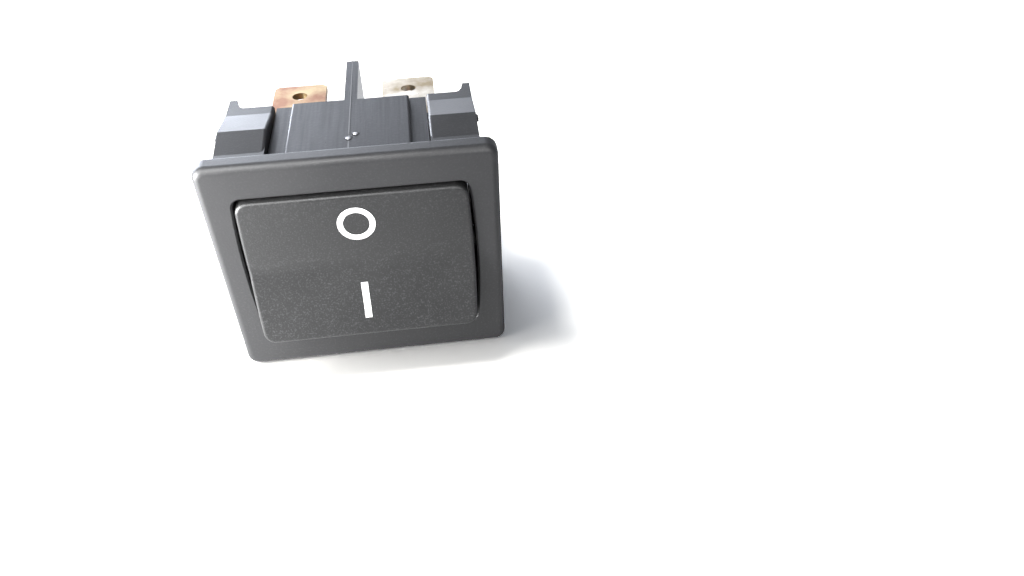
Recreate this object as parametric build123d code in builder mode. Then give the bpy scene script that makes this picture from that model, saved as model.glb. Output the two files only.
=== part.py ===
from build123d import *
import os
from math import acos, atan2, cos, hypot, radians, sin, tan

# Double-pole on-off rocker switch for a snap-in panel cut-out. Sizes are in mm.
# +X runs to the right seen from the front, +Y back into the panel, +Z up.
# The origin is the centre of the bezel's rear face, which seats on the panel.

# Bezel and window
BEZEL_W = 31.0            # along X
BEZEL_H = 27.2            # along Z
BEZEL_T = 2.4             # front face to panel seat
BEZEL_CORNER_R = 1.3
BEZEL_EDGE_R = 0.8        # round of the front outer edge
BEZEL_REAR_R = 0.4
WINDOW_HALF_H = 9.7
WINDOW_END_HALF_W = 12.2  # at the top and bottom of the window
WINDOW_MID_HALF_W = 12.7  # at half height, where the sides bow out
WINDOW_CORNER_R = 1.0
WINDOW_LIP_T = 0.8        # the window is this thick, and the housing is wider behind it
WINDOW_EDGE = 0.2         # bevel of the window's front edge

# Housing behind the bezel
BODY_HALF_W = 13.9
BODY_HALF_H = 12.45
WALL_DEPTH = 12.7         # rear edge of the top and bottom walls
SIDE_WALL_T = 1.2
END_WALL_T = 1.3
FENCE_DEPTH = 14.75       # rear edge of the side walls, which fence the terminals
FENCE_TIP_T = 0.85
FENCE_FLARE_R = 0.7       # hollow curve from the fence to the end wall
NOTCH_HALF_W = 8.7        # opening of the end walls for the terminal base
NOTCH_START = 0.7
LEDGE_H = 13.0            # root ledge across the notch, from the middle
NOTCH_EDGE_R = 0.3        # round of the wall's edges at the notch

# Snap wedges at the four corners
SNAP_PEAK_DEPTH = 5.9
SNAP_PEAK_H = 13.25       # from the middle to the wedge's crest
SNAP_RAMP_DEPTH = 11.0    # where the ramp leaves the wall
SNAP_ROOT_H = 12.6        # wedge height at the panel seat
SNAP_ROOT_DEPTH = 2.05    # the root is straight up to here, past a thin panel
SNAP_NIB = 0.22           # nib that stands out from the side wall by the crest
NIB_DEPTH = 1.0
NIB_H = 0.5

# Rocker and its pivot
PIVOT_DEPTH = 1.4
PIN_R = 1.2
PIN_PLAY = 0.05           # radial clearance of the pivot pins
PIN_END_PLAY = 0.1
BORE_DEPTH = 0.7
ROCKER_TILT = 8.5         # to either side of level
FACET_ANGLE = 7.5         # each half rises from the middle crease by this angle
CREASE_PROUD = 0.6       # how far the crease stands before the bezel when level
CREASE_R = 6.0
ROCKER_END_GAP = 0.35     # to the window, at the pressed end
ROCKER_SWING_GAP = 0.3    # between the end's curve and the window lip
ROCKER_SIDE_GAP = 0.35
ROCKER_END_NARROWING = 0.25
ROCKER_CORNER_R = 1.3
ROCKER_EDGE_R = 0.35
ROCKER_FRONT_T = 1.3
ROCKER_WALL_T = 1.2
SKIRT_DEPTH = 0.3         # rear edge of the rocker's skirt behind the pivot axis
HUB_R = 2.3               # round lug of the side wall about the pin
TUBE_R = 2.6              # tube that holds a spring and plunger
TUBE_DEPTH = 3.8
TUBE_FLOOR = 2.3          # bottom of the tube's bore before the pivot axis
RIB_T = 0.9

# Terminal base
FLOOR_INNER = 10.0
FLOOR_OUTER = 11.1
BASE_PLAY = 0.25          # between the base and the housing's walls
TONGUE_HALF_W = 6.7       # raised middle of the base's end walls
TONGUE_DEPTH = 12.8
TONGUE_EDGE_R = 0.3
LATCH_PLAY = 0.1          # between the latches and the notch
LATCH_HALF_H = 11.75      # outer face of the latches beside the tongue
LATCH_INNER_HALF_W = 4.0
LATCH_INNER_HALF_H = 7.1
LATCH_DEPTH = 13.4
LATCH_STEP = 0.6          # the pads stop short of the latches' outer face by this
LOAD_LATCH_HALF_H = 10.8  # inner edge of the latches beside the load blades
DIVIDER_DEPTH = 23.2
DIVIDER_ROOT_T = 1.5
DIVIDER_TIP_T = 1.45
BARRIER_FRONT = 6.4       # front edge of the inner barrier between the poles
EJECTOR_R = 1.3
EJECTOR_SINK = 0.15
EJECTOR_X = 9.5
EJECTOR_Z = 5.5
PARTING_W = 0.12          # mould's parting line on the divider's ends
PARTING_H = 0.05
PARTING_START = 4.6

# Terminals: one common blade in the middle and one load blade at the top of each pole
POLE_INSET = 0.25         # the blades stand half this nearer the divider than the side wall
LOAD_Z = 10.0
BLADE_W = 6.3
BLADE_T = 0.8
BLADE_DEPTH = 21.8
BLADE_CHAMFER = 0.4
BLADE_COIN = 0.2          # bevel of the tip
HOLE_R = 0.9
HOLE_FROM_TIP = 3.0
SLOT_PLAY = 0.1           # all round the blade in the floor's slot
EAR_HALF_W = 5.0
EAR_LIFT = 0.2            # above the floor
EAR_H = 0.75
EAR_BLOB_R = 0.5
STEP_T = 0.8              # shoulder that stands forward from the blade over the floor
STEP_LIFT = 0.4
STEP_R = 0.45
STEP_LENGTH = 1.6
STEP_HALF_W = 2.6
PLATE_T = 0.4             # flat plate let into the floor before each blade
PLATE_PLAY = 0.05
PLATE_HALF_W = 3.1
PLATE_LENGTH = 3.0
PLATE_OFFSET = 2.3        # from the blade's middle to the plate's middle
PLATE_CORNER_R = 0.5
PLATE_SLOT_OFFSET = 0.4
PLATE_SLOT_R = 0.45
PLATE_SLOT_LENGTH = 1.8
REST_POST_W = 2.4         # post on the inner floor that the lever's idle end rests on
REST_POST_H = 1.4
REST_POST_Z = -5.6
REST_PLAY = 0.1
FOOT_T = 0.8              # inner foot that lies on the floor
FOOT_HALF_W = 2.5
LOAD_FOOT_END = 5.8       # Z of the load foot's free end

# Contact lever, its cradle and the contacts
LEVER_DEPTH = 7.2
LEVER_T = 0.6
LEVER_HALF_W = 1.8
LEVER_TILT = 7.0
LEVER_RISE = 3.0          # each arm is bent to the front by this angle
LEVER_LOAD_ARM = 8.8
LEVER_IDLE_ARM = 6.6
TRUNNION_R = 0.45
TRUNNION_PLAY = 0.05
CRADLE_GAP = 0.5          # from the lever's side to the cradle's ear
CRADLE_EAR_T = 0.6
CRADLE_HALF_H = 1.4
CRADLE_FRONT = 6.5
CONTACT_Z = 7.6
CONTACT_R = 1.5
CONTACT_T = 0.6
SHANK_R = 0.8
CLOSED_GAP = 0.15         # between the middles of the contact faces when closed

# Plunger and spring
PLUNGER_TIP = 5.35        # from the pivot axis
PLUNGER_R = 1.65
PLUNGER_REAR = 1.8
PLUNGER_NOSE_R = 1.15
SPIGOT_R = 0.85
SPIGOT_L = 0.9
BORE_PLAY = 0.1
SPRING_MEAN_R = 1.25
WIRE_R = 0.2
SPRING_TURNS = 4
SPRING_END_PLAY = 0.05
PLUNGER_TRAVEL = 0.3      # into its tube

os.makedirs("parts", exist_ok=True)

SIDES = {"right": 1, "left": -1}


def at_depth(depth):
    """Sketch plane parallel to the panel: x is X, y is Z, and it faces the front."""
    return Plane.XZ.offset(-depth)


def across(x):
    """Sketch plane across the switch: x is Y, y is Z, and it faces +X."""
    return Plane(origin=(x, 0, 0), x_dir=(0, 1, 0), z_dir=(1, 0, 0))


def bowed_outline(plane, end_half_w, mid_half_w, half_h, corner_r):
    """Outline with flat ends, bowed sides and corners that are rounded if corner_r isn't 0."""
    with BuildSketch(plane) as outline:
        with BuildLine():
            Line((-end_half_w, half_h), (end_half_w, half_h))
            ThreePointArc((end_half_w, half_h), (mid_half_w, 0), (end_half_w, -half_h))
            Line((end_half_w, -half_h), (-end_half_w, -half_h))
            ThreePointArc((-end_half_w, -half_h), (-mid_half_w, 0), (-end_half_w, half_h))
        make_face()
        if corner_r:
            fillet(outline.vertices(), corner_r)
    return outline.sketch


# ---------------------------------------------------------------- housing
CAVITY_HALF_W = BODY_HALF_W - SIDE_WALL_T
CAVITY_HALF_H = BODY_HALF_H - END_WALL_T
POLE_X = (DIVIDER_ROOT_T / 2 + CAVITY_HALF_W - POLE_INSET) / 2
LIP_REAR = -BEZEL_T + WINDOW_LIP_T

with BuildPart() as housing:
    # Bezel plate with its rounded edge
    with BuildSketch(at_depth(0)):
        RectangleRounded(BEZEL_W, BEZEL_H, BEZEL_CORNER_R)
    extrude(amount=BEZEL_T)
    fillet(housing.faces().sort_by(Axis.Y)[0].edges(), BEZEL_EDGE_R)
    fillet(housing.faces().sort_by(Axis.Y)[-1].edges(), BEZEL_REAR_R)

    # Side walls, which thin towards their rear edge
    with BuildSketch(Plane.XY):
        with BuildLine():
            Polyline(
                (CAVITY_HALF_W, LIP_REAR),
                (BODY_HALF_W, LIP_REAR),
                (BODY_HALF_W, FENCE_DEPTH),
                (BODY_HALF_W - FENCE_TIP_T, FENCE_DEPTH),
                (CAVITY_HALF_W, WALL_DEPTH),
                close=True,
            )
        make_face()
        mirror(about=Plane.YZ)
    extrude(amount=BODY_HALF_H, both=True)

    # Top and bottom wall pieces with their snap wedges
    for side in SIDES.values():
        with BuildSketch(across(side * NOTCH_HALF_W)):
            with BuildLine():
                Polyline(
                    (LIP_REAR, CAVITY_HALF_H),
                    (LIP_REAR, SNAP_ROOT_H),
                    (SNAP_ROOT_DEPTH, SNAP_ROOT_H),
                    (SNAP_PEAK_DEPTH, SNAP_PEAK_H),
                    (SNAP_RAMP_DEPTH, BODY_HALF_H),
                    (WALL_DEPTH, BODY_HALF_H),
                    (WALL_DEPTH, CAVITY_HALF_H),
                    close=True,
                )
            make_face()
            mirror(about=Plane.XZ)
        extrude(amount=side * (BODY_HALF_W - NOTCH_HALF_W))
        # Nib at the outer end of each crest
        with BuildSketch(across(side * BODY_HALF_W)):
            for end in (1, -1):
                with Locations((SNAP_PEAK_DEPTH - NIB_DEPTH / 2, end * (SNAP_PEAK_H - NIB_H))):
                    Rectangle(NIB_DEPTH, NIB_H)
        extrude(amount=side * SNAP_NIB, taper=20)
        # Hollow flare from each end wall up to the fence's tip
        with BuildSketch(at_depth(WALL_DEPTH)):
            for end in (1, -1):
                with Locations((side * CAVITY_HALF_W, end * (BODY_HALF_H + CAVITY_HALF_H) / 2)):
                    Rectangle(2 * FENCE_FLARE_R, BODY_HALF_H - CAVITY_HALF_H)
        extrude(amount=-FENCE_FLARE_R)
        with BuildSketch(Plane.XY):
            with Locations((side * (CAVITY_HALF_W - FENCE_FLARE_R), WALL_DEPTH + FENCE_FLARE_R)):
                Circle(FENCE_FLARE_R)
        extrude(amount=BODY_HALF_H, both=True, mode=Mode.SUBTRACT)

    # Root ledge across the notches
    with BuildSketch(at_depth(NOTCH_START)):
        Rectangle(2 * NOTCH_HALF_W, 2 * LEDGE_H)
        Rectangle(2 * NOTCH_HALF_W, 2 * CAVITY_HALF_H, mode=Mode.SUBTRACT)
    extrude(amount=NOTCH_START - LIP_REAR)

    # Window and the cavity behind its lip
    window = bowed_outline(
        at_depth(-BEZEL_T), WINDOW_END_HALF_W, WINDOW_MID_HALF_W, WINDOW_HALF_H, WINDOW_CORNER_R
    )
    extrude(window, amount=-WINDOW_LIP_T, mode=Mode.SUBTRACT)
    with BuildSketch(at_depth(LIP_REAR)):
        Rectangle(2 * CAVITY_HALF_W, 2 * CAVITY_HALF_H)
    extrude(amount=LIP_REAR - WALL_DEPTH, mode=Mode.SUBTRACT)
    front_face = housing.faces().filter_by(Axis.Y).sort_by(Axis.Y)[0]
    chamfer(front_face.inner_wires()[0].edges(), WINDOW_EDGE)

    # Round the wall's rear edges at the notches
    fillet(
        housing.edges().filter_by(
            lambda e: abs(abs(e.center().X) - NOTCH_HALF_W) < 0.01
            and abs((e @ 0).X - (e @ 1).X) < 0.01
            and abs(e.center().Z) > BODY_HALF_H - 0.01
            and e.center().Y > SNAP_ROOT_DEPTH
        ),
        NOTCH_EDGE_R,
    )

    # Blind bores for the rocker's pins
    for side in SIDES.values():
        with BuildSketch(across(side * CAVITY_HALF_W)):
            with Locations((PIVOT_DEPTH, 0)):
                Circle(PIN_R + PIN_PLAY)
        extrude(amount=side * BORE_DEPTH, mode=Mode.SUBTRACT)

housing.part.label = "housing"
export_step(housing.part, "parts/housing.step")

# ---------------------------------------------------------------- rocker
# The rocker is drawn level about its pivot and placed on planes that are turned
# by the resting tilt, with the top half pressed in. u runs back, v runs up.
REST = radians(ROCKER_TILT)
U_DIR = Vector(0, cos(REST), -sin(REST))
V_DIR = Vector(0, sin(REST), cos(REST))
PIVOT = Vector(0, PIVOT_DEPTH, 0)


def rocker_side(x):
    """Sketch plane across the rocker: x is u, y is v, and it faces +X."""
    return Plane(origin=PIVOT + Vector(x, 0, 0), x_dir=U_DIR, z_dir=(1, 0, 0))


def rocker_front(u):
    """Sketch plane parallel to the rocker's rear, u behind the pivot: y is v, it faces the front."""
    return Plane(origin=PIVOT + U_DIR * u, x_dir=(1, 0, 0), z_dir=-U_DIR)


CREASE_U = PIVOT_DEPTH + BEZEL_T + CREASE_PROUD
PRESSED_END = WINDOW_HALF_H - ROCKER_END_GAP
FACET_L = (PRESSED_END - CREASE_U * sin(REST)) / cos(radians(ROCKER_TILT - FACET_ANGLE))
END_U = -CREASE_U - FACET_L * sin(radians(FACET_ANGLE))
END_V = FACET_L * cos(radians(FACET_ANGLE))
# The ends are flat behind the front edge and then curve about the pivot
SWING_R = hypot(PIVOT_DEPTH - LIP_REAR, WINDOW_HALF_H) - ROCKER_SWING_GAP
SWING_START = atan2(END_V, END_U) - acos(SWING_R / hypot(END_U, END_V))
SWING_STOP = acos(SKIRT_DEPTH / SWING_R)
SWING_MID = (SWING_START + SWING_STOP) / 2
SKIRT_V = SWING_R * sin(SWING_STOP)
ROCKER_MID_HALF_W = CAVITY_HALF_W - ROCKER_SIDE_GAP
ROCKER_END_HALF_W = WINDOW_END_HALF_W - ROCKER_END_NARROWING
INNER_V = END_V - ROCKER_WALL_T
INNER_U = -CREASE_U + ROCKER_FRONT_T
INNER_HALF_W = ROCKER_END_HALF_W - ROCKER_WALL_T


def swing_point(angle, end):
    """Point on the curved end face, at an angle about the pivot."""
    return (SWING_R * cos(angle), end * SWING_R * sin(angle))


with BuildPart() as rocker:
    # Two facets that meet in a soft crease, and ends that follow the swing
    with BuildSketch(rocker_side(0)):
        with BuildLine() as profile:
            Line((END_U, END_V), (-CREASE_U, 0))
            Line((-CREASE_U, 0), (END_U, -END_V))
            Line((SKIRT_DEPTH, -SKIRT_V), (SKIRT_DEPTH, SKIRT_V))
            for end in (1, -1):
                Line((END_U, end * END_V), swing_point(SWING_START, end))
                ThreePointArc(
                    swing_point(SWING_START, end), swing_point(SWING_MID, end), (SKIRT_DEPTH, end * SKIRT_V)
                )
        make_face()
    extrude(amount=ROCKER_MID_HALF_W, both=True)
    crease = rocker.edges().filter_by(Axis.X).filter_by(
        lambda e: (e.center() - PIVOT).length < CREASE_U + 0.01
        and (e.center() - PIVOT).length > CREASE_U - 0.01
    )
    fillet(crease, CREASE_R)
    rocker_outline = bowed_outline(
        rocker_front(0), ROCKER_END_HALF_W, ROCKER_MID_HALF_W, SWING_R, 0
    )
    extrude(rocker_outline, amount=SWING_R, both=True, mode=Mode.INTERSECT)
    # Round the four corners, from the front edge to the skirt
    corners = rocker.edges().filter_by(
        lambda e: abs(e.center().X) > ROCKER_END_HALF_W - ROCKER_CORNER_R
        and abs((e.center() - PIVOT).dot(V_DIR)) > END_V - ROCKER_CORNER_R
    )
    fillet(corners, ROCKER_CORNER_R)
    # Round the front edge all the way round
    front_faces = rocker.faces().filter_by(lambda f: f.normal_at().dot(U_DIR) < -0.9)
    shared = [e for e in front_faces.edges() if sum(e in f.edges() for f in front_faces) > 1]
    fillet([e for e in front_faces.edges() if e not in shared], ROCKER_EDGE_R)

    # Hollow rear
    with BuildSketch(rocker_side(0)):
        with BuildLine():
            Polyline(
                (INNER_U, 0),
                (INNER_U - INNER_V * tan(radians(FACET_ANGLE)), INNER_V),
                (SKIRT_DEPTH, INNER_V),
                (SKIRT_DEPTH, -INNER_V),
                (INNER_U - INNER_V * tan(radians(FACET_ANGLE)), -INNER_V),
                close=True,
            )
        make_face()
    extrude(amount=INNER_HALF_W, both=True, mode=Mode.SUBTRACT)

    for side in SIDES.values():
        # Round lug behind each side wall, and its pin
        with BuildSketch(rocker_side(side * INNER_HALF_W)):
            Circle(HUB_R)
        extrude(amount=side * (ROCKER_MID_HALF_W - INNER_HALF_W))
        with BuildSketch(rocker_side(side * INNER_HALF_W)):
            Circle(PIN_R)
        extrude(amount=side * (CAVITY_HALF_W + BORE_DEPTH - PIN_END_PLAY - INNER_HALF_W))
        # Tube for the spring and plunger, and the ribs that hold it
        with BuildSketch(rocker_front(TUBE_DEPTH)):
            with Locations((side * POLE_X, 0)):
                Circle(TUBE_R)
        extrude(amount=TUBE_DEPTH - INNER_U + 0.2)
        with BuildSketch(rocker_front(0)):
            with Locations((side * POLE_X, 0)):
                Rectangle(RIB_T, 2 * INNER_V + 0.4)
        extrude(amount=-INNER_U + 0.2)
        with BuildSketch(rocker_front(TUBE_DEPTH)):
            with Locations((side * POLE_X, 0)):
                Circle(PLUNGER_R + BORE_PLAY)
        extrude(amount=TUBE_DEPTH + TUBE_FLOOR, mode=Mode.SUBTRACT)

rocker.part.label = "rocker"
export_step(rocker.part, "parts/rocker.step")

# ---------------------------------------------------------------- terminal base
BASE_HALF_W = CAVITY_HALF_W - BASE_PLAY
BASE_HALF_H = CAVITY_HALF_H - BASE_PLAY
BASE_FRONT = NOTCH_START + SLOT_PLAY
# Slope of the lever's arm that points to the floor, at either end of its travel
ARM_SLOPE = radians(LEVER_TILT - LEVER_RISE)
REST_POST_FRONT = LEVER_DEPTH + LEVER_T / 2 - REST_POST_Z * tan(ARM_SLOPE) + REST_PLAY
LATCH_HALF_W = NOTCH_HALF_W - LATCH_PLAY

with BuildPart() as terminal_base:
    # Floor between the side walls
    with BuildSketch(at_depth(FLOOR_OUTER)):
        Rectangle(2 * BASE_HALF_W, 2 * BASE_HALF_H)
    extrude(amount=FLOOR_OUTER - FLOOR_INNER)

    # End walls in the housing's notches: latches at the sides, tongue in the middle
    with BuildSketch(at_depth(LATCH_DEPTH)):
        with Locations((0, (LATCH_HALF_H + BASE_HALF_H) / 2)):
            Rectangle(2 * LATCH_HALF_W, LATCH_HALF_H - BASE_HALF_H)
    extrude(amount=LATCH_DEPTH - BASE_FRONT)
    with BuildSketch(at_depth(FLOOR_OUTER)):
        Rectangle(2 * LATCH_HALF_W, 2 * LATCH_HALF_H)
    extrude(amount=FLOOR_OUTER - FLOOR_INNER)
    with BuildSketch(at_depth(TONGUE_DEPTH)):
        Rectangle(2 * TONGUE_HALF_W, 2 * BODY_HALF_H)
        Rectangle(2 * TONGUE_HALF_W, 2 * BASE_HALF_H, mode=Mode.SUBTRACT)
    extrude(amount=TONGUE_DEPTH - BASE_FRONT)
    fillet(
        terminal_base.edges().filter_by(Axis.Y).filter_by(
            lambda e: abs(abs(e.center().X) - TONGUE_HALF_W) < 0.01
            and abs(abs(e.center().Z) - BODY_HALF_H) < 0.01
        ),
        TONGUE_EDGE_R,
    )
    # Raised pads behind the latches, with a stepped outer edge
    for side in SIDES.values():
        for end in (1, -1):
            inner = LOAD_LATCH_HALF_H if end > 0 else LATCH_INNER_HALF_H
            outer = LATCH_HALF_H if end > 0 else LATCH_HALF_H - LATCH_STEP
            with BuildSketch(at_depth(LATCH_DEPTH)):
                with Locations((side * (LATCH_INNER_HALF_W + LATCH_HALF_W) / 2, end * (inner + outer) / 2)):
                    Rectangle(LATCH_HALF_W - LATCH_INNER_HALF_W, outer - inner)
            extrude(amount=LATCH_DEPTH - FLOOR_OUTER)

    # Divider between the poles, a little thinner at its rear edge
    with BuildSketch(Plane.XY.offset(-BODY_HALF_H)):
        with BuildLine():
            Polyline(
                (-DIVIDER_ROOT_T / 2, FLOOR_OUTER),
                (-DIVIDER_TIP_T / 2, DIVIDER_DEPTH),
                (DIVIDER_TIP_T / 2, DIVIDER_DEPTH),
                (DIVIDER_ROOT_T / 2, FLOOR_OUTER),
                close=True,
            )
        make_face()
    extrude(amount=2 * BODY_HALF_H)
    # Parting line of the mould down each end of the divider
    for end in (1, -1):
        with BuildSketch(Plane.XY.offset(end * BODY_HALF_H)):
            with Locations((0, (PARTING_START + DIVIDER_DEPTH) / 2)):
                Rectangle(PARTING_W, DIVIDER_DEPTH - PARTING_START)
        extrude(amount=end * PARTING_H)
    # Barrier between the poles inside
    with BuildSketch(at_depth(FLOOR_INNER)):
        Rectangle(DIVIDER_ROOT_T, 2 * BASE_HALF_H)
    extrude(amount=FLOOR_INNER - BARRIER_FRONT)
    # Posts that the idle ends of the levers rest on
    with BuildSketch(at_depth(FLOOR_INNER)):
        with GridLocations(2 * POLE_X, 0, 2, 1):
            with Locations((0, REST_POST_Z)):
                Rectangle(REST_POST_W, REST_POST_H)
    extrude(amount=FLOOR_INNER - REST_POST_FRONT)

    # Slots for the four blades
    with BuildSketch(at_depth(FLOOR_OUTER)):
        with Locations(*[(side * POLE_X, z) for side in SIDES.values() for z in (0, LOAD_Z)]):
            Rectangle(BLADE_W + 2 * SLOT_PLAY, BLADE_T + 2 * SLOT_PLAY)
    extrude(amount=FLOOR_OUTER - FLOOR_INNER, mode=Mode.SUBTRACT)
    # Pockets for the plates before the blades
    with BuildSketch(at_depth(FLOOR_OUTER)):
        with Locations(*[
            (side * POLE_X, z - PLATE_OFFSET) for side in SIDES.values() for z in (0, LOAD_Z)
        ]):
            RectangleRounded(
                2 * (PLATE_HALF_W + PLATE_PLAY), PLATE_LENGTH + 2 * PLATE_PLAY, PLATE_CORNER_R + PLATE_PLAY
            )
    extrude(amount=PLATE_T, mode=Mode.SUBTRACT)

    # Round ejector marks in the floor
    with BuildSketch(at_depth(FLOOR_OUTER)):
        with Locations((EJECTOR_X, -EJECTOR_Z), (-EJECTOR_X, -EJECTOR_Z)):
            Circle(EJECTOR_R)
    extrude(amount=EJECTOR_SINK, mode=Mode.SUBTRACT)

terminal_base.part.label = "terminal_base"
export_step(terminal_base.part, "parts/terminal_base.step")

# ---------------------------------------------------------------- terminals
FOOT_FRONT = FLOOR_INNER - FOOT_T
BLADE_LENGTH = BLADE_DEPTH - FOOT_FRONT


def blade(x, z):
    """Blade through the floor with chamfered tip, hole, ears, forward foot: one stamping."""
    with BuildSketch(Plane.XY.offset(z - BLADE_T / 2)) as stamping:
        with Locations((x, BLADE_DEPTH - BLADE_LENGTH / 2)):
            Rectangle(BLADE_W, BLADE_LENGTH)
        chamfer(stamping.vertices().group_by(Axis.Y)[-1], BLADE_CHAMFER)
        with Locations((x, FLOOR_OUTER + EAR_LIFT + EAR_H / 2)):
            SlotOverall(2 * EAR_HALF_W, EAR_H)
        with Locations((x, FLOOR_OUTER + EAR_LIFT + EAR_H / 2)):
            with GridLocations(2 * (EAR_HALF_W - EAR_BLOB_R), 0, 2, 1):
                Circle(EAR_BLOB_R)
        with Locations((x, BLADE_DEPTH - HOLE_FROM_TIP)):
            Circle(HOLE_R, mode=Mode.SUBTRACT)
    extrude(stamping.sketch, amount=BLADE_T)
    # Shoulder with a rounded front edge, just above the floor
    with BuildSketch(across(x - STEP_HALF_W)) as step:
        with Locations((FLOOR_OUTER + STEP_LIFT + STEP_T / 2, z - STEP_LENGTH / 2)):
            Rectangle(STEP_T, STEP_LENGTH)
        fillet(step.vertices().group_by(Axis.Y)[0].group_by(Axis.X)[-1], STEP_R)
    extrude(step.sketch, amount=2 * STEP_HALF_W)


def tip_edges(terminal):
    """Edges round the blade's tip on its two flat faces."""
    return terminal.edges().filter_by(
        lambda e: e.center().Y > BLADE_DEPTH - BLADE_CHAMFER and abs(e.tangent_at(0).Z) < 0.01
    )


for name, side in SIDES.items():
    x = side * POLE_X

    # Load terminal: its inner foot carries the fixed contact
    with BuildPart() as load_terminal:
        blade(x, LOAD_Z)
        chamfer(tip_edges(load_terminal), BLADE_COIN)
        with BuildSketch(at_depth(FLOOR_INNER)):
            with Locations((x, (LOAD_Z + LOAD_FOOT_END) / 2)):
                Rectangle(2 * FOOT_HALF_W, LOAD_Z - LOAD_FOOT_END)
        extrude(amount=FOOT_T)
        with BuildSketch(at_depth(FLOOR_INNER)):
            with Locations((x, CONTACT_Z)):
                Circle(SHANK_R)
        extrude(amount=FOOT_T, mode=Mode.SUBTRACT)
    load_terminal.part.label = f"load_terminal_{name}"
    export_step(load_terminal.part, f"parts/load_terminal_{name}.step")

    # Common terminal: its inner end is a cradle for the contact lever
    ear_in = LEVER_HALF_W + CRADLE_GAP
    with BuildPart() as common_terminal:
        blade(x, 0)
        chamfer(tip_edges(common_terminal), BLADE_COIN)
        with BuildSketch(at_depth(FLOOR_INNER)):
            with Locations((x, 0)):
                Rectangle(2 * (ear_in + CRADLE_EAR_T), 2 * CRADLE_HALF_H)
        extrude(amount=FOOT_T)
        for ear in (1, -1):
            with BuildSketch(across(x + ear * ear_in)):
                with Locations(((CRADLE_FRONT + FLOOR_INNER) / 2, 0)):
                    Rectangle(FLOOR_INNER - CRADLE_FRONT, 2 * CRADLE_HALF_H)
                with Locations((LEVER_DEPTH, 0)):
                    Circle(TRUNNION_R + TRUNNION_PLAY, mode=Mode.SUBTRACT)
                with Locations(((CRADLE_FRONT + LEVER_DEPTH) / 2, 0)):
                    Rectangle(
                        LEVER_DEPTH - CRADLE_FRONT,
                        2 * (TRUNNION_R + TRUNNION_PLAY),
                        mode=Mode.SUBTRACT,
                    )
            extrude(amount=ear * CRADLE_EAR_T)
    common_terminal.part.label = f"common_terminal_{name}"
    export_step(common_terminal.part, f"parts/common_terminal_{name}.step")

    # Flat plates on the floor before each blade's foot, each with a slot
    for role, z in (("load", LOAD_Z), ("common", 0)):
        with BuildPart() as plate:
            with BuildSketch(at_depth(FLOOR_OUTER)):
                with Locations((x, z - PLATE_OFFSET)):
                    RectangleRounded(2 * PLATE_HALF_W, PLATE_LENGTH, PLATE_CORNER_R)
                with Locations((x, z - PLATE_OFFSET - PLATE_SLOT_OFFSET)):
                    SlotOverall(PLATE_SLOT_LENGTH, 2 * PLATE_SLOT_R, mode=Mode.SUBTRACT)
            extrude(amount=PLATE_T)
        plate.part.label = f"{role}_plate_{name}"
        export_step(plate.part, f"parts/{role}_plate_{name}.step")

# ---------------------------------------------------------------- contact levers
# A lever is drawn along its own depth and length, about its trunnions. At rest it is
# tilted with the load arm lifted off the fixed contact.
LEVER_REST = radians(LEVER_TILT)
LEVER_U = Vector(0, cos(LEVER_REST), sin(LEVER_REST))
LEVER_PIVOT = Vector(0, LEVER_DEPTH, 0)
RISE = tan(radians(LEVER_RISE))
# Depth of the arm's rear face at the contact when closed
ARM_AT_CONTACT = CONTACT_Z / cos(ARM_SLOPE)
CLOSED_REAR = LEVER_DEPTH + LEVER_T / 2 / cos(ARM_SLOPE) + CONTACT_Z * tan(ARM_SLOPE)


def lever_side(x):
    """Sketch plane across the lever: x is its depth, y its length, and it faces +X."""
    return Plane(origin=LEVER_PIVOT + Vector(x, 0, 0), x_dir=LEVER_U, z_dir=(1, 0, 0))


def lever_face(x):
    """Sketch plane of the load arm's rear face about the middle, facing the front."""
    turn = LEVER_REST + radians(LEVER_RISE)
    back = Vector(0, cos(turn), sin(turn))
    return Plane(origin=LEVER_PIVOT + Vector(x, 0, 0) + back * (LEVER_T / 2), x_dir=(1, 0, 0), z_dir=-back)


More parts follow.
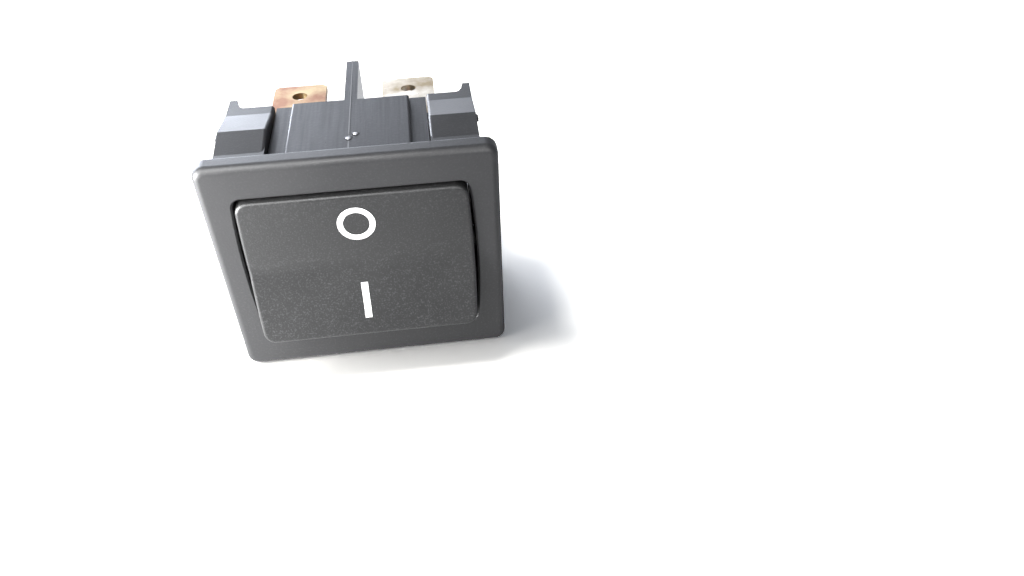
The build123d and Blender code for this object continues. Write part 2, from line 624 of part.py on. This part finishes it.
for name, side in SIDES.items():
    x = side * POLE_X

    with BuildPart() as contact_lever:
        with BuildSketch(lever_side(x)):
            with BuildLine():
                Polyline(
                    (-LEVER_T / 2, 0),
                    (-LEVER_T / 2 - LEVER_LOAD_ARM * RISE, LEVER_LOAD_ARM),
                    (LEVER_T / 2 - LEVER_LOAD_ARM * RISE, LEVER_LOAD_ARM),
                    (LEVER_T / 2, 0),
                    (LEVER_T / 2 - LEVER_IDLE_ARM * RISE, -LEVER_IDLE_ARM),
                    (-LEVER_T / 2 - LEVER_IDLE_ARM * RISE, -LEVER_IDLE_ARM),
                    close=True,
                )
            make_face()
        extrude(amount=LEVER_HALF_W, both=True)
        with BuildSketch(lever_side(x)):
            Circle(TRUNNION_R)
        extrude(amount=LEVER_HALF_W + CRADLE_GAP + CRADLE_EAR_T, both=True)
        with BuildSketch(lever_face(x)):
            with Locations((0, ARM_AT_CONTACT)):
                Circle(SHANK_R)
        extrude(amount=2 * LEVER_T, both=True, mode=Mode.SUBTRACT)
    contact_lever.part.label = f"contact_lever_{name}"
    export_step(contact_lever.part, f"parts/contact_lever_{name}.step")

    # Moving contact: a rivet with its domed head on the lever's rear face
    with BuildPart() as moving_contact:
        with BuildSketch(lever_face(x)):
            with Locations((0, ARM_AT_CONTACT)):
                Circle(CONTACT_R)
        extrude(amount=-CONTACT_T, taper=12)
        with BuildSketch(lever_face(x)):
            with Locations((0, ARM_AT_CONTACT)):
                Circle(SHANK_R)
        extrude(amount=LEVER_T)
    moving_contact.part.label = f"moving_contact_{name}"
    export_step(moving_contact.part, f"parts/moving_contact_{name}.step")

    # Fixed contact: a rivet in the load terminal's foot
    fixed_face = CLOSED_REAR + CONTACT_T / cos(ARM_SLOPE) + CLOSED_GAP
    with BuildPart() as fixed_contact:
        with BuildSketch(at_depth(FOOT_FRONT)):
            with Locations((x, CONTACT_Z)):
                Circle(CONTACT_R)
        extrude(amount=FOOT_FRONT - fixed_face)
        with BuildSketch(at_depth(FLOOR_INNER)):
            with Locations((x, CONTACT_Z)):
                Circle(SHANK_R)
        extrude(amount=FOOT_T)
    fixed_contact.part.label = f"fixed_contact_{name}"
    export_step(fixed_contact.part, f"parts/fixed_contact_{name}.step")

    # Plunger: a cap that slides in the rocker's tube, with a round nose and a spigot
    with BuildPart() as plunger:
        with BuildSketch(Plane(origin=PIVOT + Vector(x, 0, 0), x_dir=U_DIR, z_dir=Vector(1, 0, 0))):
            with BuildLine():
                Polyline(
                    (PLUNGER_REAR - SPIGOT_L, 0),
                    (PLUNGER_REAR - SPIGOT_L, SPIGOT_R),
                    (PLUNGER_REAR, SPIGOT_R),
                    (PLUNGER_REAR, PLUNGER_R),
                    (TUBE_DEPTH - 0.1, PLUNGER_R),
                    (PLUNGER_TIP - PLUNGER_NOSE_R, PLUNGER_NOSE_R),
                )
                RadiusArc(
                    (PLUNGER_TIP - PLUNGER_NOSE_R, PLUNGER_NOSE_R), (PLUNGER_TIP, 0), PLUNGER_NOSE_R
                )
                Line((PLUNGER_TIP, 0), (PLUNGER_REAR - SPIGOT_L, 0))
            make_face()
        revolve(axis=Axis(PIVOT + Vector(x, 0, 0), U_DIR))
    plunger.part.label = f"plunger_{name}"
    export_step(plunger.part, f"parts/plunger_{name}.step")

    # Coil spring from the tube's bottom to the plunger's shoulder, its wire six-sided
    spring_start = -TUBE_FLOOR + WIRE_R
    spring_end = PLUNGER_REAR - PLUNGER_TRAVEL - SPRING_END_PLAY - WIRE_R
    with BuildPart() as spring:
        with BuildLine() as coil:
            Helix(
                pitch=(spring_end - spring_start) / SPRING_TURNS,
                height=spring_end - spring_start,
                radius=SPRING_MEAN_R,
                center=PIVOT + Vector(x, 0, 0) + U_DIR * spring_start,
                direction=U_DIR,
            )
        with BuildSketch(Plane(origin=coil.line @ 0, z_dir=coil.line % 0)):
            RegularPolygon(WIRE_R, 6)
        sweep(is_frenet=True)
    spring.part.label = f"spring_{name}"
    export_step(spring.part, f"parts/spring_{name}.step")
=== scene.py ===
import math

import bmesh
import bpy
from mathutils import Matrix, Vector


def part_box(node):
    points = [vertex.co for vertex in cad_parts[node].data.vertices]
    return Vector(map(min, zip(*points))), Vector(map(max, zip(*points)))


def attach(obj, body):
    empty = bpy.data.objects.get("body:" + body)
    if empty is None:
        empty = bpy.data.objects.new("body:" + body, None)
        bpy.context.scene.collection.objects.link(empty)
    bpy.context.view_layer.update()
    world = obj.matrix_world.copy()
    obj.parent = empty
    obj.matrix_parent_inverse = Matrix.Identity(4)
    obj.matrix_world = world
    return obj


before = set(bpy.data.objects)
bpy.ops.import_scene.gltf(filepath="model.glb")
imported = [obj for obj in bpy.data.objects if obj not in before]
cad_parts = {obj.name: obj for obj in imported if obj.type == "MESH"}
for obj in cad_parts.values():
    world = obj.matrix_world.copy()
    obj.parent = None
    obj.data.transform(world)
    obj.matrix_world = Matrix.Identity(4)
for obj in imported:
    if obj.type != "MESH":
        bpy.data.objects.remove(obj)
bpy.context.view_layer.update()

# ------------------------------------------------------------ table, light and camera
# The switch stands on a white table, on the lower edge of its bezel and the end of
# its divider. A window lights it from the left and from behind on the left.

TABLE_TILT = math.radians(2.84)


def linear(code):
    """A linear colour from an sRGB hex code."""
    parts = [int(code[i : i + 2], 16) / 255 for i in (1, 3, 5)]
    return (*(c / 12.92 if c <= 0.04045 else ((c + 0.055) / 1.055) ** 2.4 for c in parts), 1.0)


def add(tree, kind, settings=None, **links):
    """Add a node: settings by attribute or input name, links by input name."""
    node = tree.nodes.new(kind)
    for name, value in (settings or {}).items():
        if hasattr(node, name):
            setattr(node, name, value)
        else:
            node.inputs[name].default_value = value
    for name, source in links.items():
        tree.links.new(source, node.inputs[name.replace("_", " ")])
    return node


def material(name):
    """A new material, and its node tree, emptied."""
    new = bpy.data.materials.new(name)
    new.use_nodes = True
    new.node_tree.nodes.clear()
    return new, new.node_tree


# Uncoated white card, a trace warm: matt, and overexposed to plain white wherever no
# shadow falls on it. Under the bluish room light its shadows come out a neutral grey.
table_white, tree = material("white table card overexposed")
card = add(tree, "ShaderNodeBsdfDiffuse", {"Color": linear("#f5f3ee")})
twice = add(tree, "ShaderNodeAddShader")
tree.links.new(card.outputs[0], twice.inputs[0])
tree.links.new(card.outputs[0], twice.inputs[1])
add(tree, "ShaderNodeOutputMaterial", Surface=twice.outputs[0])

# The same card at its own level. The camera doesn't see this sheet: it is what the
# switch mirrors and what lights the switch from below.
table_pale, tree = material("white table card")
card = add(tree, "ShaderNodeBsdfDiffuse", {"Color": linear("#cccccc")})
add(tree, "ShaderNodeOutputMaterial", Surface=card.outputs[0])

SHEET_HALF_W = 1.5
MIRRORED_SINK = 0.00002


def sheet(name, finish, sink):
    """A large square sheet under the switch, sunk below its lowest edge."""
    tilt = Matrix.Rotation(TABLE_TILT, 3, "X")
    bm = bmesh.new()
    bmesh.ops.create_grid(bm, x_segments=1, y_segments=1, size=SHEET_HALF_W)
    bmesh.ops.rotate(bm, verts=bm.verts, cent=(0, 0, 0), matrix=tilt)
    bmesh.ops.translate(bm, verts=bm.verts, vec=(0, 0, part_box("housing")[0].z - sink))
    mesh = bpy.data.meshes.new(name)
    bm.to_mesh(mesh)
    bm.free()
    new = bpy.data.objects.new(name, mesh)
    new.data.materials.append(finish)
    new.visible_shadow = False
    bpy.context.scene.collection.objects.link(new)
    return new


seen_table = sheet("table", table_white, 0.0)
seen_table.visible_glossy = False
seen_table.visible_diffuse = False
mirrored_table = sheet("table_mirrored", table_pale, MIRRORED_SINK)
mirrored_table.visible_camera = False

# A room that is dim all round and bright about a low window, back and to the left. The
# camera sees plain white in its place.
WINDOW_DIRECTION = (-0.568, 0.811, -0.139)
WINDOW_GLOW = 31.0
WINDOW_EDGE = 0.4
WINDOW_FALL = 4.6
ROOM_LEVEL = 0.2

world = bpy.data.worlds.new("room with a window")
bpy.context.scene.world = world
world.use_nodes = True
tree = world.node_tree
tree.nodes.clear()
look = add(tree, "ShaderNodeTexCoord")
towards = add(tree, "ShaderNodeVectorMath", {"operation": "DOT_PRODUCT"})
tree.links.new(look.outputs["Generated"], towards.inputs[0])
towards.inputs[1].default_value = WINDOW_DIRECTION
span = {"From Min": WINDOW_EDGE, "From Max": 1.0}
near = add(tree, "ShaderNodeMapRange", span, Value=towards.outputs["Value"])
glow = add(tree, "ShaderNodeMath", {"operation": "POWER"})
tree.links.new(near.outputs["Result"], glow.inputs[0])
glow.inputs[1].default_value = WINDOW_FALL
level = add(tree, "ShaderNodeMath", {"operation": "MULTIPLY_ADD"})
tree.links.new(glow.outputs[0], level.inputs[0])
level.inputs[1].default_value = WINDOW_GLOW
level.inputs[2].default_value = ROOM_LEVEL
room = add(tree, "ShaderNodeBackground", {"Color": linear("#edf3ff")}, Strength=level.outputs[0])
white = add(tree, "ShaderNodeBackground", {"Color": linear("#ffffff"), "Strength": 1.0})
path = add(tree, "ShaderNodeLightPath")
direct = add(tree, "ShaderNodeMath", {"operation": "MAXIMUM"})
tree.links.new(path.outputs["Is Camera Ray"], direct.inputs[0])
tree.links.new(path.outputs["Is Transmission Ray"], direct.inputs[1])
mixed = add(tree, "ShaderNodeMixShader")
tree.links.new(direct.outputs[0], mixed.inputs[0])
tree.links.new(room.outputs[0], mixed.inputs[1])
tree.links.new(white.outputs[0], mixed.inputs[2])
add(tree, "ShaderNodeOutputWorld", Surface=mixed.outputs[0])


def lit(name, *pieces):
    """A collection of the pieces that one lamp lights."""
    group = bpy.data.collections.new(name)
    for piece in pieces:
        group.objects.link(piece)
    return group


def softbox(name, place, size, power, receivers):
    """A square area lamp aimed at the switch, that lights one collection only."""
    lamp = bpy.data.lights.new(name, "AREA")
    lamp.size = size
    lamp.energy = power
    holder = bpy.data.objects.new(name, lamp)
    holder.location = place
    holder.rotation_euler = (-Vector(place)).to_track_quat("-Z", "Y").to_euler()
    holder.light_linking.receiver_collection = receivers
    bpy.context.scene.collection.objects.link(holder)


# The lamps that brighten the switch would wash its shadow off the table that the camera
# sees, so each lamp lights only what it names.
switch_and_mirror = lit("switch and mirrored table", mirrored_table, *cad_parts.values())
switch_only = lit("switch", *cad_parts.values())
softbox(
    "window_left",
    place=(-0.055, -0.02, 0.015),
    size=0.04,
    power=0.195,
    receivers=switch_and_mirror,
)
softbox(
    "window_left_on_table",
    place=(-0.055, -0.02, 0.03),
    size=0.045,
    power=0.036,
    receivers=lit("table seen", seen_table),
)
softbox(
    "fill_front",
    place=(0.05, -0.13, 0.07),
    size=0.08,
    power=0.09,
    receivers=switch_only,
)
softbox(
    "fill_top",
    place=(-0.035, -0.04, 0.08),
    size=0.06,
    power=0.13,
    receivers=switch_only,
)

# Skylight from high on the left, which throws the short shadow to the right and forward
SKYLIGHT_DIRECTION = Vector((-0.38, 0.09, 0.92))
skylight = bpy.data.lights.new("skylight", "SUN")
skylight.energy = 1.5
skylight.angle = math.radians(12)
holder = bpy.data.objects.new("skylight", skylight)
holder.rotation_euler = SKYLIGHT_DIRECTION.to_track_quat("Z", "Y").to_euler()
holder.visible_glossy = False
bpy.context.scene.collection.objects.link(holder)

# The camera looks down on the front from a little to the right of the middle
CAMERA_PLACE = Vector((0.008524, -0.074809, 0.055708))
CAMERA_RIGHT = Vector((0.991701, -0.126777, -0.021366))
CAMERA_UP = Vector((0.097806, 0.636083, 0.765397))
CAMERA_BACK = Vector((-0.083444, -0.761134, 0.643204))

camera = bpy.data.objects.new("camera", bpy.data.cameras.new("camera"))
camera.data.sensor_width = 36.0
camera.data.lens = 28.551
camera.data.clip_start = 0.005
camera.data.dof.use_dof = False
turn = Matrix((CAMERA_RIGHT, CAMERA_UP, CAMERA_BACK)).transposed()
camera.matrix_world = Matrix.Translation(CAMERA_PLACE) @ turn.to_4x4()
bpy.context.scene.collection.objects.link(camera)
bpy.context.scene.camera = camera
bpy.context.scene.view_settings.view_transform = "Standard"

# ------------------------------------------------------------ housing and terminal base
# The bezel with its snap-in body, and the base that closes it behind, are moulded in
# black glass-filled nylon. The bezel has a satin skin, the base a smoother one.

CLOUD_SIZE = 0.0083
CLOUD_CONTRAST = 0.07
NOISE_REACH = {"From Min": 0.25, "From Max": 0.75}
GRAIN_PEAKS = {"From Min": 0.52, "From Max": 0.75}
GRAIN_STRENGTH = 0.6
FEWER_GLINTS_HEIGHT = 0.003
FULL_GLINTS_HEIGHT = -0.004
UPPER_GLINT_SHARE = 0.6
FLOW_WIDTH = 0.00042
FLOW_STRETCH = 0.04
FLOW_CONTRAST = 0.2
SEAM_HALF_W = 0.00009
SEAM_CORE = 0.7
GLANCE_START = 0.7
GLANCE_END = 0.9
GLANCE_GLOSS = 0.06
NYLON_IOR = 1.53


def black_plastic(
    name, low, high, gloss, shine, grain_size, grain_depth, grain_glint, flow=0.0, seam_highlight=0.0
):
    """Black nylon with cloudy tone and gloss, a moulded grain with painted glints on it, and flow
    lines.
    """
    new, tree = material(name)
    place = add(tree, "ShaderNodeTexCoord").outputs["Object"]
    coarse = {"Scale": 1 / CLOUD_SIZE, "Detail": 3.0}
    cloud = add(tree, "ShaderNodeTexNoise", coarse, Vector=place)
    fine = {"Scale": 1 / grain_size, "Detail": 2.0}
    grain = add(tree, "ShaderNodeTexNoise", fine, Vector=place)
    tint = add(tree, "ShaderNodeMix", {"data_type": "RGBA"})
    tint.inputs["A"].default_value = linear(low)
    tint.inputs["B"].default_value = linear(high)
    tree.links.new(cloud.outputs["Fac"], tint.inputs["Factor"])
    peaks = add(tree, "ShaderNodeMapRange", GRAIN_PEAKS, Value=grain.outputs["Fac"])

    # pale specks painted on the grain's peaks as glints, more of them low down, where the
    # button's lower face catches the light so that its grain sparkles
    height = add(tree, "ShaderNodeSeparateXYZ", Vector=place)
    glint_span = {
        "From Min": FEWER_GLINTS_HEIGHT,
        "From Max": FULL_GLINTS_HEIGHT,
        "To Min": grain_glint * UPPER_GLINT_SHARE,
        "To Max": grain_glint,
    }
    glint_by_height = add(tree, "ShaderNodeMapRange", glint_span, Value=height.outputs["Z"])
    amount = add(tree, "ShaderNodeMath", {"operation": "MULTIPLY"})
    tree.links.new(peaks.outputs["Result"], amount.inputs[0])
    tree.links.new(glint_by_height.outputs["Result"], amount.inputs[1])

    # a pale line painted along the mould's parting line down the middle: a painted highlight on
    # its ridge, paler than the skin beside it
    if seam_highlight:
        across = add(tree, "ShaderNodeMath", {"operation": "ABSOLUTE"})
        tree.links.new(height.outputs["X"], across.inputs[0])
        edge = {"From Min": SEAM_HALF_W, "From Max": SEAM_HALF_W * SEAM_CORE, "To Max": seam_highlight}
        seam_highlight_mask = add(tree, "ShaderNodeMapRange", edge, Value=across.outputs[0])
        paler = add(tree, "ShaderNodeMath", {"operation": "MAXIMUM"})
        tree.links.new(amount.outputs[0], paler.inputs[0])
        tree.links.new(seam_highlight_mask.outputs["Result"], paler.inputs[1])
        amount = paler
    glinted = add(tree, "ShaderNodeMix", {"data_type": "RGBA"})
    glinted.inputs["B"].default_value = linear("#8f9092")
    tree.links.new(tint.outputs["Result"], glinted.inputs["A"])
    tree.links.new(amount.outputs[0], glinted.inputs["Factor"])

    # fine lines along Y, where the melt ran away from the gate
    stretched = add(tree, "ShaderNodeMapping", {"Scale": (1.0, FLOW_STRETCH, 1.0)}, Vector=place)
    streaks = {"Scale": 1 / FLOW_WIDTH, "Detail": 3.0}
    lines = add(tree, "ShaderNodeTexNoise", streaks, Vector=stretched.outputs[0])
    uneven = add(tree, "ShaderNodeMix", {"data_type": "FLOAT", "Factor": flow})
    tree.links.new(cloud.outputs["Fac"], uneven.inputs["A"])
    tree.links.new(lines.outputs["Fac"], uneven.inputs["B"])
    spread = CLOUD_CONTRAST + FLOW_CONTRAST * flow
    span = {**NOISE_REACH, "To Min": gloss - spread, "To Max": gloss + spread}
    polish = add(tree, "ShaderNodeMapRange", span, Value=uneven.outputs["Result"])

    relief = {"Strength": GRAIN_STRENGTH, "Distance": grain_depth}
    skin = add(tree, "ShaderNodeBump", relief, Height=grain.outputs["Fac"])
    shell = add(
        tree,
        "ShaderNodeBsdfPrincipled",
        {"IOR": NYLON_IOR, "Specular IOR Level": shine},
        Roughness=polish.outputs["Result"],
        Normal=skin.outputs["Normal"],
    )
    tree.links.new(glinted.outputs["Result"], shell.inputs["Base Color"])
    add(tree, "ShaderNodeOutputMaterial", Surface=shell.outputs[0])
    return new


def sharpen_at_a_glance(finish):
    """Make a smooth skin mirror more sharply where it is seen along its face."""
    tree = finish.node_tree
    shell = next(node for node in tree.nodes if node.type == "BSDF_PRINCIPLED")
    glance = add(tree, "ShaderNodeLayerWeight", {"Blend": 0.5})
    span = {"From Min": GLANCE_START, "From Max": GLANCE_END}
    along = add(tree, "ShaderNodeMapRange", span, Value=glance.outputs["Facing"])
    sharper = add(tree, "ShaderNodeMix", {"data_type": "FLOAT"})
    tree.links.new(shell.inputs["Roughness"].links[0].from_socket, sharper.inputs["A"])
    sharper.inputs["B"].default_value = GLANCE_GLOSS
    tree.links.new(along.outputs["Result"], sharper.inputs["Factor"])
    tree.links.new(sharper.outputs["Result"], shell.inputs["Roughness"])


def paint(node, finish):
    """Give a CAD node its material."""
    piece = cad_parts[node]
    piece.data.materials.clear()
    piece.data.materials.append(finish)


# Glass-filled nylon from a lightly blasted mould: a soft even sheen that runs from pale
# on the window's side to charcoal, with hardly any grain to see.
satin_nylon = black_plastic(
    "black nylon moulded satin",
    low="#242425",
    high="#2a2a2b",
    gloss=0.45,
    shine=0.54,
    grain_size=0.00024,
    grain_depth=0.00002,
    grain_glint=0.06,
)

# Nylon from a plain milled mould: darker and flatter, streaked along the flow of the melt.
smooth_nylon = black_plastic(
    "black nylon moulded smooth",
    low="#212123",
    high="#2f3033",
    gloss=0.42,
    shine=0.27,
    grain_size=0.00038,
    grain_depth=0.00002,
    grain_glint=0.05,
    flow=0.6,
    # a painted highlight along the parting line
    seam_highlight=0.25,
)
sharpen_at_a_glance(smooth_nylon)
paint("housing", satin_nylon)
paint("terminal_base", smooth_nylon)

# ------------------------------------------------------------ gate marks
# Two pin gates fed the base's mould at its raised middle. Each left a broken stub about
# half a millimetre across, paler than the skin, in a shallow dimple. The dimple isn't
# modelled: a nearly flat dark disc round each stub is painted shade standing in for it.

PARTING_H = 0.00005
TONGUE_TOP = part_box("terminal_base")[1].z - PARTING_H
GATES = ((-0.00003, 0.00374), (0.00071, 0.0046))
GATE_R = 0.00027
GATE_RISE = 0.00014
GATE_RAGGED = 0.08
DIMPLE_R = 0.00048
DIMPLE_RISE = 0.00001
DIMPLE_RAGGED = 0.1
RIM_LOBES = ((3, 1.0), (7, 0.6))

# Torn nylon, stress-whitened where the gate snapped: a pale, slightly glossy fleck.
TEAR_SIZE = 0.00011
stub_nylon, tree = material("black nylon torn pale")
place = add(tree, "ShaderNodeTexCoord").outputs["Object"]
torn = add(tree, "ShaderNodeTexNoise", {"Scale": 1 / TEAR_SIZE, "Detail": 3.0}, Vector=place)
pale = add(tree, "ShaderNodeMix", {"data_type": "RGBA"})
pale.inputs["A"].default_value = linear("#77787c")
pale.inputs["B"].default_value = linear("#b9babf")
tree.links.new(torn.outputs["Fac"], pale.inputs["Factor"])
shell = add(tree, "ShaderNodeBsdfPrincipled", {"IOR": NYLON_IOR, "Roughness": 0.3})
tree.links.new(pale.outputs["Result"], shell.inputs["Base Color"])
add(tree, "ShaderNodeOutputMaterial", Surface=shell.outputs[0])

# Painted shade of the dimple round each gate: a dull dark patch that sets off the stub.
dimple_shade_nylon = black_plastic(
    "black nylon dimple shade painted dull",
    low="#141415",
    high="#201f1e",
    gloss=0.5,
    shine=0.2,
    grain_size=0.00038,
    grain_depth=0.00002,
    grain_glint=0.05,
)

DOME_AROUND = 24
DOME_UP = 8


def low_dome(name, centre, radius, rise, ragged, finish):
    """A low dome half sunk in the tongue, with a slightly ragged rim."""
    bm = bmesh.new()
    bmesh.ops.create_uvsphere(bm, u_segments=DOME_AROUND, v_segments=DOME_UP, radius=radius)
    bmesh.ops.scale(bm, verts=bm.verts, vec=(1, 1, rise / radius))
    # three broad lobes and seven small ones round the rim
    for vert in bm.verts:
        turn = math.atan2(vert.co.y, vert.co.x)
        vert.co.xy *= 1 + ragged * sum(size * math.sin(count * turn) for count, size in RIM_LOBES)
    bmesh.ops.translate(bm, verts=bm.verts, vec=(*centre, TONGUE_TOP))
    for face in bm.faces:
        face.smooth = True
    mesh = bpy.data.meshes.new(name)
    bm.to_mesh(mesh)
    bm.free()
    dome = bpy.data.objects.new(name, mesh)
    dome.data.materials.append(finish)
    bpy.context.scene.collection.objects.link(dome)
    switch_only.objects.link(dome)
    switch_and_mirror.objects.link(dome)
    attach(dome, "body")


for side, gate in zip(("a", "b"), GATES):
    low_dome(f"gate_stub_{side}", gate, GATE_R, GATE_RISE, GATE_RAGGED, stub_nylon)
    low_dome(f"gate_dimple_shade_{side}", gate, DIMPLE_R, DIMPLE_RISE, DIMPLE_RAGGED, dimple_shade_nylon)

# ------------------------------------------------------------ rocker
# The button that tips between its two ends is moulded in black nylon, in one with the
# pins that snap into the housing's side walls. Its two faces have a fine grain.

# Nylon with a spark-eroded grain, drawn a little coarser than the real 0.1 mm so that it shows:
# the blackest of the three, with its sparkle painted as pale specks on the grain, most on the
# lower face, where the light catches it.
grained_nylon = black_plastic(
    "black nylon fine grained",
    low="#161616",
    high="#1c1c1c",
    gloss=0.44,
    shine=0.6,
    grain_size=0.00018,
    grain_depth=0.00003,
    grain_glint=0.14,
)
paint("rocker", grained_nylon)

# ------------------------------------------------------------ legends
# The marks for off and on are pad-printed in white ink, one on each face of the button.
# The film of ink follows the face and stands two hundredths of a millimetre proud.

ROCKER_TILT = math.radians(8.5)
FACET_ANGLE = math.radians(7.5)
PIVOT = Vector((0, 0.0014, 0))
CREASE_U = 0.0044
INK_T = 0.00002
INK_SINK = 0.00001
RING_R = 0.00202
RING_STROKE = 0.00061
RING_MIDDLE = 0.00524
RING_STEPS = 72
BAR_W = 0.00074
BAR_LENGTH = 0.00434
BAR_MIDDLE = 0.00444
BAR_X = -0.00016

u_dir = Vector((0, math.cos(ROCKER_TILT), -math.sin(ROCKER_TILT)))
v_dir = Vector((0, math.sin(ROCKER_TILT), math.cos(ROCKER_TILT)))


def onto_facet(half):
    """Takes (across, from the crease, proud) to the button's upper (+1) or lower (-1) face."""
    along = -u_dir * math.sin(FACET_ANGLE) + half * v_dir * math.cos(FACET_ANGLE)
    outward = -u_dir * math.cos(FACET_ANGLE) - half * v_dir * math.sin(FACET_ANGLE)
    turn = Matrix((Vector((1, 0, 0)), along, outward)).transposed()
    return Matrix.Translation(PIVOT - u_dir * CREASE_U) @ turn.to_4x4()


def ink(name, bm, half):
    """Thicken flat artwork into a film of ink and lay it on one face of the button."""
    raised = bmesh.ops.extrude_face_region(bm, geom=bm.faces[:])["geom"]
    tops = [part for part in raised if isinstance(part, bmesh.types.BMVert)]
    bmesh.ops.translate(bm, verts=tops, vec=(0, 0, INK_T + INK_SINK))
    bmesh.ops.translate(bm, verts=bm.verts, vec=(0, 0, -INK_SINK))
    bmesh.ops.transform(bm, verts=bm.verts, matrix=onto_facet(half))
    bmesh.ops.recalc_face_normals(bm, faces=bm.faces)
    mesh = bpy.data.meshes.new(name)
    bm.to_mesh(mesh)
    bm.free()
    film = bpy.data.objects.new(name, mesh)
    bpy.context.scene.collection.objects.link(film)
    switch_only.objects.link(film)
    switch_and_mirror.objects.link(film)
    film.data.materials.append(white_ink)
    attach(film, "rocker")


# Pad-printing ink, dried with a faintly uneven skin: a flat clear white.
INK_UNEVEN = 0.00033
white_ink, tree = material("white pad-printing ink")
place = add(tree, "ShaderNodeTexCoord").outputs["Object"]
blotch = {"Scale": 1 / INK_UNEVEN, "Detail": 2.0}
uneven = add(tree, "ShaderNodeTexNoise", blotch, Vector=place)
span = {"To Min": 0.4, "To Max": 0.6}
gloss = add(tree, "ShaderNodeMapRange", span, Value=uneven.outputs["Fac"])
shell = add(
    tree,
    "ShaderNodeBsdfPrincipled",
    {"Base Color": linear("#f4f4f2"), "IOR": 1.5},
    Roughness=gloss.outputs["Result"],
)
add(tree, "ShaderNodeOutputMaterial", Surface=shell.outputs[0])

ring = bmesh.new()
for radius in (RING_R, RING_R - RING_STROKE):
    bmesh.ops.create_circle(ring, segments=RING_STEPS, radius=radius)
bmesh.ops.bridge_loops(ring, edges=ring.edges[:])
bmesh.ops.translate(ring, verts=ring.verts, vec=(0, RING_MIDDLE, 0))
ink("legend_off_ring", ring, 1)

# the bar starts as a square one unit wide
bar = bmesh.new()
bmesh.ops.create_grid(bar, x_segments=1, y_segments=1, size=0.5)
bmesh.ops.scale(bar, verts=bar.verts, vec=(BAR_W, BAR_LENGTH, 1))
bmesh.ops.translate(bar, verts=bar.verts, vec=(BAR_X, BAR_MIDDLE, 0))
ink("legend_on_bar", bar, -1)

# ------------------------------------------------------------ terminals
# Blades and inner strips are stamped from brass strip; levers and floor plates are
# copper strip. The rolled faces are satin, and colour drifts slightly with tarnish.

TARNISH_SIZE = 0.0038
TARNISH_EDGE = {"From Min": 0.38, "From Max": 0.62}
ROLLED_SIZE = 0.0004
ROLLED_GLOSS = {"To Min": 0.2, "To Max": 0.5}


def strip_metal(name, low, high):
    """Satin rolled strip with slow drifts of tarnish."""
    new, tree = material(name)
    place = add(tree, "ShaderNodeTexCoord").outputs["Object"]
    slow = {"Scale": 1 / TARNISH_SIZE, "Detail": 4.0}
    drift = add(tree, "ShaderNodeTexNoise", slow, Vector=place)
    fine = {"Scale": 1 / ROLLED_SIZE, "Detail": 2.0}
    roll = add(tree, "ShaderNodeTexNoise", fine, Vector=place)
    tint = add(tree, "ShaderNodeMix", {"data_type": "RGBA"})
    tint.inputs["A"].default_value = linear(low)
    tint.inputs["B"].default_value = linear(high)
    patches = add(tree, "ShaderNodeMapRange", TARNISH_EDGE, Value=drift.outputs["Fac"])
    tree.links.new(patches.outputs["Result"], tint.inputs["Factor"])
    gloss = add(tree, "ShaderNodeMapRange", ROLLED_GLOSS, Value=roll.outputs["Fac"])
    face = add(
        tree,
        "ShaderNodeBsdfPrincipled",
        {"Metallic": 1.0},
        Roughness=gloss.outputs["Result"],
    )
    tree.links.new(tint.outputs["Result"], face.inputs["Base Color"])
    add(tree, "ShaderNodeOutputMaterial", Surface=face.outputs[0])
    return new


# Rolled brass, tarnished in the air: brown and straw-coloured patches on a satin metal.
# Both poles are the same brass in two copies for how the light falls on them: the left one
# darker and browner as painted shade, the right one paler, near white, as a painted reflection.
terminal_brass = {
    "left": strip_metal("brass strip tarnished, left pole in painted shade", "#86593a", "#b09870"),
    "right": strip_metal("brass strip tarnished, right pole with painted reflection", "#ad9a79", "#f4ecde"),
}

# Rolled copper, still bright: salmon-coloured, satin.
terminal_copper = strip_metal("copper strip stamped satin", "#b87850", "#d69a72")
for side in ("right", "left"):
    paint(f"load_terminal_{side}", terminal_brass[side])
    paint(f"common_terminal_{side}", terminal_brass[side])
    paint(f"load_plate_{side}", terminal_copper)
    paint(f"common_plate_{side}", terminal_copper)
    paint(f"contact_lever_{side}", terminal_copper)

# ------------------------------------------------------------ contacts, plungers, springs
# Silver rivets are headed onto the levers and the fixed feet. Acetal plungers slide in
# the rocker's tubes, on springs wound from drawn steel wire. All of it is hidden inside.

# Headed silver: near white and satin. Drawn steel wire: mid grey and satin.
contact_silver = strip_metal("silver rivet satin", "#cfcfca", "#e6e5e0")
spring_steel = strip_metal("steel wire drawn", "#8c8d8f", "#a9aaac")

# Natural acetal as moulded: milky white with a waxy, faintly clouded gloss.
ACETAL_CLOUD = 0.0025
white_acetal, tree = material("white acetal moulded")
place = add(tree, "ShaderNodeTexCoord").outputs["Object"]
waxy = {"Scale": 1 / ACETAL_CLOUD, "Detail": 3.0}
cloud = add(tree, "ShaderNodeTexNoise", waxy, Vector=place)
span = {"To Min": 0.3, "To Max": 0.42}
gloss = add(tree, "ShaderNodeMapRange", span, Value=cloud.outputs["Fac"])
shell = add(
    tree,
    "ShaderNodeBsdfPrincipled",
    {"Base Color": linear("#e9e6dc"), "IOR": 1.48},
    Roughness=gloss.outputs["Result"],
)
add(tree, "ShaderNodeOutputMaterial", Surface=shell.outputs[0])
for side in ("right", "left"):
    paint(f"moving_contact_{side}", contact_silver)
    paint(f"fixed_contact_{side}", contact_silver)
    paint(f"plunger_{side}", white_acetal)
    paint(f"spring_{side}", spring_steel)
